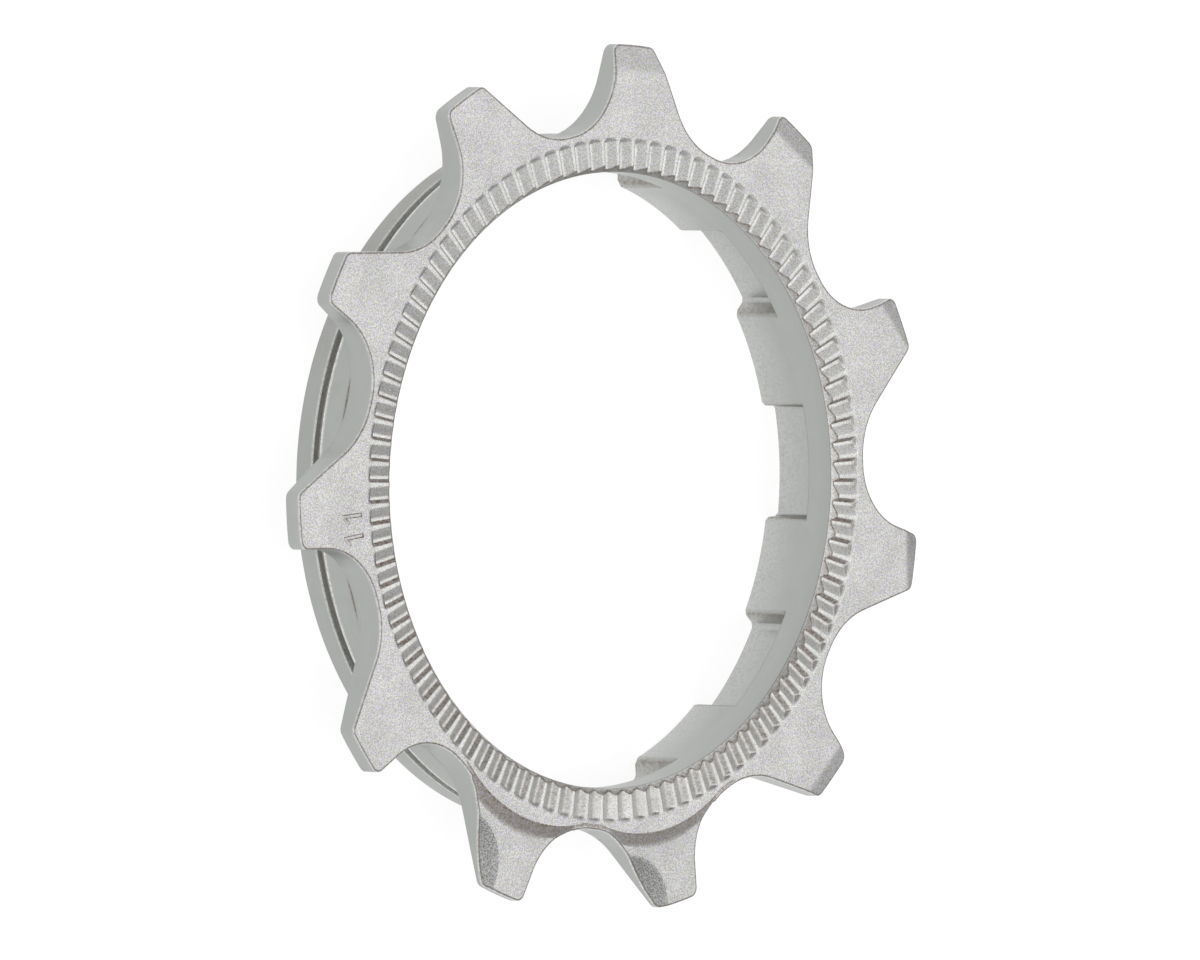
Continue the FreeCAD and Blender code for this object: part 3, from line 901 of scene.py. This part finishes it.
def noise(tree, size_mm, detail, stretch=(1, 1, 1)):
    """Noise whose grains are about size_mm wide, times a stretch along each axis."""
    place = tree.nodes.new("ShaderNodeTexCoord")
    mapping = tree.nodes.new("ShaderNodeMapping")
    mapping.inputs["Scale"].default_value = [1 / (size_mm * MM * part) for part in stretch]
    tree.links.new(place.outputs["Object"], mapping.inputs["Vector"])
    node = tree.nodes.new("ShaderNodeTexNoise")
    node.inputs["Scale"].default_value = 1.0
    node.inputs["Detail"].default_value = detail
    tree.links.new(mapping.outputs[0], node.inputs["Vector"])
    return node.outputs["Fac"]


def finish_of(tree, name):
    """One of the finish values that the mesh carries."""
    node = tree.nodes.new("ShaderNodeAttribute")
    node.attribute_name = name
    return node.outputs["Fac"]


def make_steel():
    """Plated steel: a blasted front face, smooth satin sides, bright edges of wear and painted highlights,
    and brown grime and painted shade in corners.
    """
    material = bpy.data.materials.new("steel")
    material.use_nodes = True
    tree = material.node_tree
    shader = tree.nodes["Principled BSDF"]
    front, wear, grime, hollow = (finish_of(tree, name) for name in FINISHES)

    grain = noise(tree, GRAIN_MM, detail=2)
    fleck = noise(tree, FLECK_MM, detail=1)
    cloud = noise(tree, CLOUD_MM, detail=3)
    lines = noise(tree, LINE_MM, detail=2, stretch=LINE_STRETCH)

    speckle = mapped(tree, grain, GRAIN_SPAN, WHOLE)
    blasted = mixed(tree, speckle, *BLASTED)
    tinted = mixed(tree, mapped(tree, fleck, TINT_SPAN, WHOLE), *TINTS)
    blasted = mixed(tree, TINT_SHARE, blasted, tinted)
    hollowed = mixed(tree, speckle, *HOLLOWED)
    blasted = mixed(tree, mapped(tree, hollow, HOLLOW_SPAN, HOLLOW_SHARE), blasted, hollowed)
    satin = mixed(tree, mapped(tree, cloud, CLOUD_SPAN, WHOLE), *SATIN)
    satin = mixed(tree, mapped(tree, lines, LINE_SPAN, LINE_SHARE), satin, TURNED)
    colour = mixed(tree, front, satin, blasted)
    # Worn colour over real wear and over painted highlights.
    worn_and_highlit = maths(tree, "MULTIPLY", wear, mapped(tree, fleck, WEAR_SPAN, WEAR_SHARE))
    colour = mixed(tree, worn_and_highlit, colour, mixed(tree, speckle, *RUBBED_AND_HIGHLIGHT))
    # Brown over real grime and over painted shade.
    grime_and_shade_mask = maths(tree, "MULTIPLY", grime, mapped(tree, fleck, GRIME_AND_SHADE_SPAN, GRIME_AND_SHADE_SHARE))
    colour = mixed(tree, grime_and_shade_mask, colour, GRIME_AND_SHADE_COLOUR)
    tree.links.new(colour, shader.inputs["Base Color"])

    roughness = mapped(tree, front, WHOLE, ROUGHNESS)
    roughness = maths(tree, "ADD", roughness, mapped(tree, cloud, CLOUD_SPAN, CLOUD_ROUGHNESS))
    roughness = maths(tree, "ADD", roughness, maths(tree, "MULTIPLY", grime_and_shade_mask, GRIME_AND_SHADE_ROUGHNESS))
    tree.links.new(roughness, shader.inputs["Roughness"])
    tree.links.new(mapped(tree, grime_and_shade_mask, METALLIC_SPAN, METALLIC), shader.inputs["Metallic"])

    relief = maths(tree, "MULTIPLY", grain, front)
    relief = maths(tree, "ADD", relief, maths(tree, "MULTIPLY", lines, LINE_RELIEF))
    bump = tree.nodes.new("ShaderNodeBump")
    bump.inputs["Strength"].default_value = BUMP_STRENGTH
    bump.inputs["Distance"].default_value = BUMP_MM * MM
    tree.links.new(relief, bump.inputs["Height"])
    tree.links.new(bump.outputs[0], shader.inputs["Normal"])
    return material


def make_floor():
    """White floor that keeps the cog's soft shadow."""
    half = FLOOR_HALF_SIDE
    corners = [(-half, -half, 0), (half, -half, 0), (half, half, 0), (-half, half, 0)]
    mesh = bpy.data.meshes.new("floor")
    mesh.from_pydata(corners, [], [(0, 1, 2, 3)])
    floor = bpy.data.objects.new("floor", mesh)
    bpy.context.scene.collection.objects.link(floor)
    material = bpy.data.materials.new("floor")
    material.use_nodes = True
    tree = material.node_tree
    tree.nodes.remove(tree.nodes["Principled BSDF"])
    plain = tree.nodes.new("ShaderNodeBsdfDiffuse")
    plain.inputs["Color"].default_value = FLOOR_GREY
    shaded = tree.nodes.new("ShaderNodeBsdfDiffuse")
    shaded.inputs["Color"].default_value = FLOOR_SHADE
    white = tree.nodes.new("ShaderNodeEmission")
    white.inputs["Strength"].default_value = FLOOR_GLOW
    seen = tree.nodes.new("ShaderNodeAddShader")
    tree.links.new(shaded.outputs[0], seen.inputs[0])
    tree.links.new(white.outputs[0], seen.inputs[1])
    path = tree.nodes.new("ShaderNodeLightPath")
    shown = maths(tree, "MAXIMUM", path.outputs["Is Camera Ray"], path.outputs["Is Glossy Ray"])
    shown = maths(tree, "MAXIMUM", shown, path.outputs["Is Transmission Ray"])
    mix = tree.nodes.new("ShaderNodeMixShader")
    tree.links.new(shown, mix.inputs[0])
    tree.links.new(plain.outputs[0], mix.inputs[1])
    tree.links.new(seen.outputs[0], mix.inputs[2])
    tree.links.new(mix.outputs[0], tree.nodes["Material Output"].inputs[0])
    mesh.materials.append(material)


def make_world():
    """Studio of a few broad soft lights."""
    world = bpy.data.worlds.new("studio")
    bpy.context.scene.world = world
    world.use_nodes = True
    tree = world.node_tree
    place = tree.nodes.new("ShaderNodeTexCoord")
    light = DIM_LIGHT
    for direction, fade, end, brightness in SOFT_LIGHTS:
        near = tree.nodes.new("ShaderNodeVectorMath")
        near.operation = "DOT_PRODUCT"
        tree.links.new(place.outputs["Generated"], near.inputs[0])
        near.inputs[1].default_value = Vector(direction).normalized()
        span = (math.cos(math.radians(end)), math.cos(math.radians(fade)))
        lobe = mapped(tree, near.outputs["Value"], span, (0, brightness))
        light = maths(tree, "ADD", lobe, light)
    tree.links.new(light, tree.nodes["Background"].inputs["Strength"])
    tree.nodes["Background"].inputs["Color"].default_value = WHITE


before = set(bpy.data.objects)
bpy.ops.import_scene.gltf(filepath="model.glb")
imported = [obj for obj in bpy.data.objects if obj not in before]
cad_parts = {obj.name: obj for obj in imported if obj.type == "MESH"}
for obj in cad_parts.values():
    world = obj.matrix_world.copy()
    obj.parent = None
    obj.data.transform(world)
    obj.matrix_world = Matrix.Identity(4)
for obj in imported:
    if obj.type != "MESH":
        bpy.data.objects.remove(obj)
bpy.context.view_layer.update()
bpy.context.scene.view_settings.view_transform = "Standard"

cog = build_cog(make_steel())
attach(cog, "root")
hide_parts("cassette_cog")
make_camera()
make_floor()
make_world()
